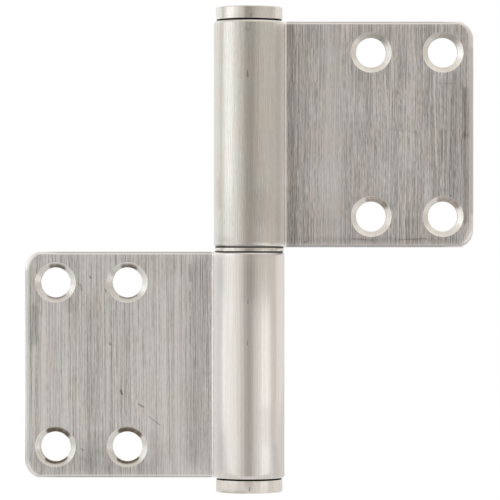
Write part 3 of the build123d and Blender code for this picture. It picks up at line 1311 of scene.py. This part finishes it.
@dataclass(frozen=True)
class Studio:
    """Pale floor, soft studio light and the camera."""

    distance: float = 0.736  # camera to the pin's axis, in metres
    eye: Point = (0.000178, -0.000111)  # camera's place across and up, in metres
    view_width: float = 0.1113  # width of the view at the axis, in metres
    sensor: float = 36.0  # width of the camera's sensor, in millimetres
    sweep: tuple[Glow, ...] = (  # light round the hinge at its own height
        Glow(-180.0, 0.93),
        Glow(-120.0, 1.1),
        Glow(-103.0, 0.66, 0.6),
        Glow(-88.0, 1.04),
        Glow(-60.0, 1.07, 0.2),
        Glow(-35.0, 0.84, 0.4),
        Glow(-20.0, 0.66, 0.8),
        Glow(-11.0, 0.38, 1.0),
        Glow(11.0, 0.37, 1.0),
        Glow(22.0, 0.55, 1.0),
        Glow(50.0, 0.66, 0.9),
        Glow(88.0, 0.62, 1.0),
        Glow(120.0, 0.99, 0.6),
        Glow(145.0, 0.84, 0.2),
        Glow(180.0, 0.93),
    )
    crown: tuple[Glow, ...] = (  # light from above in the same way
        Glow(-180.0, 0.88, 0.6),
        Glow(-90.0, 0.8, 0.6),
        Glow(-40.0, 0.75, 0.7),
        Glow(40.0, 0.82, 0.7),
        Glow(90.0, 0.92, 0.6),
        Glow(180.0, 0.88, 0.6),
    )
    below: Colour = (0.25, 0.24, 0.22)  # light from under the floor's edge
    high: Point = (0.2, 0.8)  # upward directions between which the sweep gives way to the crown
    deep: Point = (-0.8, -0.2)  # downward directions between which light from below gives way to the sweep
    cards: tuple[Card, ...] = (  # card lamps
        Card(-103.0, -0.07, 0.5),
        Card(25.0, -0.07, 0.19),
        Card(55.0, -0.07, 0.46),
        Card(-70.0, 0.07, 0.26),
    )
    floor_size: float = 0.6  # side of the floor, in metres
    floor_front: float = 0.03  # floor's front edge before the pin's axis, in metres
    floor_paint: Colour = (0.85, 0.85, 0.84)  # floor as the light falls on it
    floor_rough: float = 0.9  # roughness of the floor
    floor_white: Colour = (1.08, 1.08, 1.08)  # glow of the floor towards the camera
    floor_share: float = 0.86  # how far that glow covers the paint and the shadow on it
    floor_tone: Colour = (0.80, 0.765, 0.72)  # floor as the metal shows it

    def ramp(self, bench: NodeBench, place: Socket, stops: tuple[Glow, ...]) -> Socket:
        """Adds a band of light round the hinge.

        Args:
            bench: The world's nodes.
            place: Direction round the hinge, from 0 to 1.
            stops: The light all round.

        Returns:
            The colour's socket, divided by LIGHT_SCALE.
        """
        node = bench.add("ShaderNodeValToRGB", {0: place})
        elements = node.color_ramp.elements
        for stop in stops[1:-1]:
            elements.new(stop.place)
        for element, stop in zip(elements, stops):
            element.position = stop.place
            element.color = dimmed(stop.colour())
        return node.outputs[0]

    def world(self) -> None:
        """Builds the light round the hinge, dim where the camera stands, and white for the camera."""
        world = bpy.data.worlds.new("studio")
        bpy.context.scene.world = world
        world.use_nodes = True
        bench = NodeBench(world.node_tree)
        shell = bench.tree.nodes["Background"]
        x, y, z = bench.split_xyz(bench.add("ShaderNodeTexCoord").outputs["Generated"])
        angle = bench.math("ARCTAN2", x, bench.math("MULTIPLY", y, -1.0))
        place = bench.math("MULTIPLY_ADD", angle, 0.5 / math.pi, 0.5)
        high = bench.span(z, self.high)
        deep = bench.span(z, self.deep, (1.0, 0.0))
        light = bench.blend(high, self.ramp(bench, place, self.sweep), self.ramp(bench, place, self.crown))
        light = bench.blend(deep, light, dimmed(self.below))
        seen = bench.add("ShaderNodeLightPath").outputs["Is Camera Ray"]
        bench.feed(shell.inputs["Color"], bench.blend(seen, light, dimmed((1.0, 1.0, 1.0))))
        bench.feed(shell.inputs["Strength"], LIGHT_SCALE)

    def paint(self) -> bpy.types.Material:
        """Pale paint that glows towards the camera and has a tone of its own in the metal.

        Returns:
            The floor's material.
        """
        material = bpy.data.materials.new("pale_floor")
        material.use_nodes = True
        material.cycles.emission_sampling = "NONE"
        bench = NodeBench(material.node_tree)
        matt = bench.tree.nodes["Principled BSDF"]
        bench.feed(matt.inputs["Base Color"], opaque(self.floor_paint))
        bench.feed(matt.inputs["Roughness"], self.floor_rough)
        path = bench.add("ShaderNodeLightPath")
        shown = bench.math("MAXIMUM", path.outputs["Is Glossy Ray"], path.outputs["Is Transmission Ray"])
        tone = bench.blend(shown, opaque(self.floor_white), opaque(self.floor_tone))
        glow = bench.add("ShaderNodeEmission", {"Color": tone})
        share = bench.math("MULTIPLY_ADD", path.outputs["Is Camera Ray"], self.floor_share, shown)
        mix = bench.add("ShaderNodeMixShader", {0: share, 1: matt.outputs[0], 2: glow.outputs[0]})
        bench.feed(bench.tree.nodes["Material Output"].inputs[0], mix.outputs[0])
        return material

    def floor(self) -> bpy.types.Object:
        """Pale floor under the lower cap, white round the hinge's shadow.

        Returns:
            The floor.
        """
        low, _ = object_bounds()
        half = self.floor_size / 2
        mesh = bpy.data.meshes.new("floor")
        near, far = -self.floor_front, self.floor_size - self.floor_front
        corners = [(-half, near), (half, near), (half, far), (-half, far)]
        mesh.from_pydata([(x, y, low[2]) for x, y in corners], [], [(0, 1, 2, 3)])
        mesh.materials.append(self.paint())
        floor = bpy.data.objects.new("floor", mesh)
        bpy.context.scene.collection.objects.link(floor)
        floor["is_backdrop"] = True
        return floor

    def camera(self) -> bpy.types.Object:
        """Long lens straight in front of the pin.

        Returns:
            The camera.
        """
        lens = bpy.data.cameras.new("camera")
        lens.sensor_width = self.sensor
        lens.lens = self.sensor * self.distance / self.view_width
        camera = bpy.data.objects.new("camera", lens)
        camera.location = (self.eye[0], -self.distance, self.eye[1])
        camera.rotation_euler = (math.pi / 2, 0.0, 0.0)
        bpy.context.scene.collection.objects.link(camera)
        bpy.context.scene.camera = camera
        return camera

    def build(self) -> None:
        """Sets up the view, the light, the floor and the camera."""
        bpy.context.scene.view_settings.view_transform = "Standard"
        self.world()
        for card in self.cards:
            card.build()
        self.floor()
        self.camera()


# Finishes
BRUSHED = LinedSteel(
    name="brushed_steel",
    dark=(0.45, 0.444, 0.45),
    light=(0.975, 0.962, 0.993),
    rough=(0.42, 0.50),
    stretch=0.9,
    hairs=(
        Hair(0.1, 9.0, 0.36, 0.012, 1.0),
        Hair(0.1, 80.0, 0.32, -0.01, 1.0),
        Hair(0.1, 1.8, 0.25, 0.0, 1.0),
        Hair(3.0, 45.0, 0.07, 0.01, 0.0),
    ),
    relief=0.003,
    contrast=0.103,
    lean=0.012,
    polish=0.95,
    roll_polish=0.3,
    roll_lines=0.25,
    roll_cast=(0.99, 0.995, 0.95),
    roll_gloss=0.44,
    bend_shine=1.0,
    bend_line=1.0,
    scratch=Hair(0.24, 70.0, 0.5, -0.02, 0.0),
    patch=Hair(5.0, 11.0, 0.7),
    warm=(0.99, 0.955, 0.94),
    cool=(0.96, 0.985, 1.0),
)
UPPER_BRUSHED = replace(
    BRUSHED,
    name="brushed_steel_upper",
    marks=(
        # Painted light and shade: broad bands along the lines, and darker strips by the bend and the edges
        Mark((39.6, 35.0), (39.7, 25.0), 0.6, 0.38),
        Mark((39.6, 25.0), (39.7, 6.0), 0.6, 0.32),
        Mark((9.8, 3.0), (10.2, 47.0), 2.4, -0.4),
        Mark((1.3, 1.0), (1.3, 49.0), 1.0, 0.17),
        Mark((1.2, 1.0), (1.2, 14.0), 1.3, 0.08),
        Mark((37.4, 38.0), (37.6, 12.0), 2.2, 0.19),
        Mark((2.0, 3.5), (38.0, 3.5), 4.5, 0.09),
        Mark((2.0, 47.0), (38.0, 47.0), 2.5, 0.05),
        Mark((17.2, 40.0), (17.4, 20.0), 1.6, 0.06),
        # Nicks and scuffs
        Mark((24.6, 34.9), (24.75, 34.3), 0.16, 0.4),
        Mark((25.2, 32.9), (25.4, 32.2), 0.16, 0.4),
        Mark((22.9, 26.3), (28.7, 25.6), 0.3, 0.11),
        Mark((33.6, 36.6), (37.4, 36.4), 0.12, 0.13),
        Mark((3.9, 1.2), (4.2, 1.15), 0.14, 0.5),
        # Darker along the lower edge, with spots
        Mark((3.0, 1.7), (38.0, 1.7), 0.55, 0.13),
        Mark((14.5, 1.9), (19.0, 1.6), 0.16, 0.33),
        Mark((25.0, 1.7), (31.0, 1.9), 0.16, 0.28),
        Mark((0.5, 0.3), (38.5, 0.3), 0.45, 0.05),
        # Painted shade on the outer edge, a painted highlight on its lower corner, and two long scratches
        Mark((41.0, 44.0), (41.0, 8.0), 0.5, 0.2),
        Mark((42.4, 44.0), (42.4, 7.0), 0.7, 0.5),
        Mark((41.0, 4.6), (39.6, 1.0), 0.45, -0.8),
        Mark((21.8, 38.3), (22.45, 26.1), 0.14, -0.8),
        Mark((32.7, 38.3), (33.35, 18.3), 0.14, -0.8),
        # Barrel: painted shade by the bend and along the lower rim by the washer, smudges and a nick
        Mark((-1.7, 0.5), (-1.7, 49.5), 0.5, 0.1),
        Mark((-45.0, -0.35), (-2.0, -0.35), 0.3, 1.2),
        Mark((-10.3, 6.5), (-10.8, 11.5), 1.6, 0.1),
        Mark((-21.4, 9.5), (-21.6, 14.5), 0.9, 0.13),
        Mark((-21.5, 1.6), (-18.0, 1.2), 0.9, 0.12),
        Mark((-13.85, 38.7), (-13.75, 37.6), 0.13, 0.55),
        Mark((-14.2, 48.3), (-13.6, 47.9), 0.3, 0.14),
    ),
)
# The lower leaf's steel, with its own lines and marks, toned lighter than the upper leaf's as painted light,
# with painted light on its barrel and no painted highlight on the bend
LOWER_BRUSHED = replace(
    BRUSHED,
    name="brushed_steel_lower",
    dark=(0.4, 0.387, 0.39),
    light=(0.978, 0.977, 1.0),
    hairs=(
        Hair(0.1, 80.0, 0.43, 0.008, 1.0),
        Hair(0.1, 9.0, 0.28, -0.01, 1.0),
        Hair(0.1, 1.8, 0.22, 0.0, 1.0),
        Hair(2.6, 60.0, 0.07, -0.008, 0.0),
    ),
    contrast=0.14,
    lean=-0.026,
    roll_cast=(1.0, 0.987, 0.972),
    roll_shine=0.29,
    bend_line=0.0,
    patch=Hair(5.0, 11.0, 0.5),
    seed=7.7,
    marks=(
        # Nicks and scuffs
        Mark((29.2, 7.3), (28.9, 8.5), 0.2, 0.35),
        Mark((27.1, 5.5), (26.8, 5.9), 0.18, 0.4),
        Mark((23.7, 8.3), (23.5, 8.9), 0.15, 0.4),
        Mark((22.6, 20.3), (22.5, 20.7), 0.17, 0.55),
        Mark((20.2, 30.9), (19.9, 31.7), 0.2, 0.65),
        Mark((16.2, 34.0), (15.1, 34.6), 0.16, 0.6),
        Mark((13.9, 36.7), (11.5, 38.6), 0.13, 0.45),
        Mark((39.4, 12.5), (39.6, 20.0), 0.8, 0.24),
        Mark((31.9, 10.5), (31.7, 13.0), 0.6, 0.24),
        Mark((28.9, 43.9), (28.5, 44.3), 0.15, 0.4),
        Mark((4.8, 3.0), (4.7, 6.5), 0.22, 0.36),
        Mark((4.75, 9.0), (4.8, 11.2), 0.18, 0.36),
        Mark((4.6, 14.5), (4.7, 20.5), 0.15, 0.25),
        # Painted light and shade: broad bands along the lines, and darker strips by the outer edge and the
        # lower edge
        Mark((13.0, 46.0), (36.0, 46.0), 4.0, 0.19),
        Mark((3.5, 48.0), (9.0, 48.0), 1.6, -0.3),
        Mark((0.5, 50.0), (38.5, 50.0), 0.45, 0.1),
        Mark((41.6, 5.0), (41.6, 46.0), 1.0, 0.35),
        Mark((37.6, 15.0), (37.6, 46.0), 0.7, -0.4),
        Mark((35.0, 12.0), (35.0, 40.0), 2.6, -0.25),
        Mark((29.9, 14.0), (29.8, 44.0), 0.9, -0.15),
        Mark((27.4, 12.0), (27.3, 48.0), 1.0, 0.13),
        Mark((22.5, 12.0), (22.5, 48.0), 2.0, 0.09),
        Mark((14.2, 6.0), (14.1, 46.0), 1.0, -0.3),
        Mark((10.8, 8.0), (10.8, 44.0), 3.2, -0.15),
        Mark((7.4, 6.0), (7.4, 46.0), 1.0, -0.4),
        Mark((3.7, 4.0), (3.8, 46.0), 1.7, 0.19),
        # Barrel: nicks and smudges
        Mark((-13.15, 10.7), (-13.1, 11.3), 0.12, 0.3),
        Mark((-13.05, 19.8), (-13.0, 20.5), 0.12, 0.3),
        Mark((-17.4, 35.5), (-17.9, 41.0), 1.5, 0.11),
        Mark((-13.3, 4.0), (-13.7, 9.5), 1.4, 0.09),
        Mark((-19.6, 43.5), (-20.2, 49.0), 1.0, 0.13),
    ),
)
TURNED = LinedSteel(
    name="turned_steel",
    dark=(0.66, 0.645, 0.625),
    light=(0.78, 0.765, 0.745),
    rough=(0.20, 0.25),
    stretch=0.35,
    hairs=(Hair(0.1, 14.0, 0.2), Hair(9.0, 0.7, 0.4), Hair(3.0, 2.2, 0.4)),
    relief=0.0003,
)
# Copies for the caps, toned apart as painted light and shade: the upper cap's a little lighter than the
# washer's, the lower cap's lighter still
UPPER_TURNED = replace(
    TURNED,
    name="turned_steel_upper",
    dark=(0.69, 0.68, 0.67),
    light=(0.81, 0.8, 0.79),
    marks=(
        Mark((14.7, 35.25), (15.2, 35.3), 0.2, 0.35),
        Mark((14.6, 34.2), (16.6, 34.3), 0.5, 0.08),
    ),
)
LOWER_TURNED = replace(
    TURNED,
    name="turned_steel_lower",
    dark=(0.75, 0.73, 0.71),
    light=(0.88, 0.86, 0.84),
    marks=(
        Mark((15.8, 34.75), (16.4, 34.8), 0.16, 0.5),
        # Painted shade along part of the head's outer edge
        Mark((17.0, 36.0), (17.0, 42.0), 0.45, 0.22),
        Mark((14.8, 37.2), (16.4, 37.4), 0.5, 0.1),
        Mark((15.0, 31.0), (16.4, 31.1), 0.6, -0.6),
        Mark((14.7, 30.1), (16.7, 30.2), 0.25, 0.1),
    ),
)
GROUND = LinedSteel(
    name="ground_steel",
    dark=(0.62, 0.61, 0.59),
    light=(0.74, 0.73, 0.71),
    rough=(0.20, 0.28),
    stretch=0.4,
    hairs=(Hair(0.07, 12.0, 0.6), Hair(0.6, 10.0, 0.4)),
    relief=0.0008,
)
SUNK = LinedSteel(
    name="cut_steel",
    dark=(0.88, 0.87, 0.855),
    light=(0.98, 0.97, 0.96),
    rough=(0.25, 0.33),
    stretch=0.4,
    hairs=(Hair(0.08, 8.0, 0.5), Hair(0.5, 4.0, 0.25), Hair(3.0, 0.9, 0.25)),
    relief=0.001,
    soil=(0.10, 0.08, 0.062),
)
UPPER_SUNK = replace(
    SUNK,
    name="cut_steel_upper",
    # Colour of the painted shade in the screw holes
    soil=(0.2, 0.135, 0.085),
    marks=(
        # Painted shade: a dark arc in the countersinks of each row
        Mark((2.7, 20.8), (2.7, 25.4), 0.9, 0.55, 0.65),
        Mark((2.5, 61.2), (2.5, 66.0), 0.8, 0.25, 0.8),
    ),
)
# The lower leaf's countersinks: a darker copy, as painted shade, with its own colour for the painted shade
# in the holes
LOWER_SUNK = replace(
    SUNK,
    name="cut_steel_lower",
    dark=(0.79, 0.79, 0.785),
    light=(0.89, 0.89, 0.885),
    soil=(0.13, 0.09, 0.06),
    marks=(
        # Painted shade and painted dark reflections: soft and dark arcs in the countersinks of each row
        Mark((2.4, 18.0), (2.4, 24.2), 1.0, 0.13),
        Mark((2.4, 57.0), (2.4, 65.4), 1.0, 0.18),
        Mark((2.4, 6.1), (2.4, 9.4), 0.7, 0.75, 0.65),
        Mark((2.1, 18.6), (2.1, 23.6), 0.35, 0.6, 0.8),
        Mark((2.6, 45.5), (2.6, 50.7), 0.85, 0.9, 0.5),
        Mark((2.1, 58.2), (2.1, 64.2), 0.6, 0.94, 0.5),
    ),
)


def main() -> None:
    """Builds the hinge piece by piece, then the studio."""
    logging.basicConfig(level=logging.INFO, format="%(name)s: %(message)s")
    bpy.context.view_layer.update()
    leaves = [
        RolledLeaf(Side.UPPER, UPPER_BRUSHED, UPPER_SUNK).build(),
        RolledLeaf(Side.LOWER, LOWER_BRUSHED, LOWER_SUNK).build(),
    ]
    for piece in leaves + PinSet(TURNED, UPPER_TURNED, LOWER_TURNED, GROUND).build():
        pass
    Studio().build()


if __name__ == "__main__":
    main()
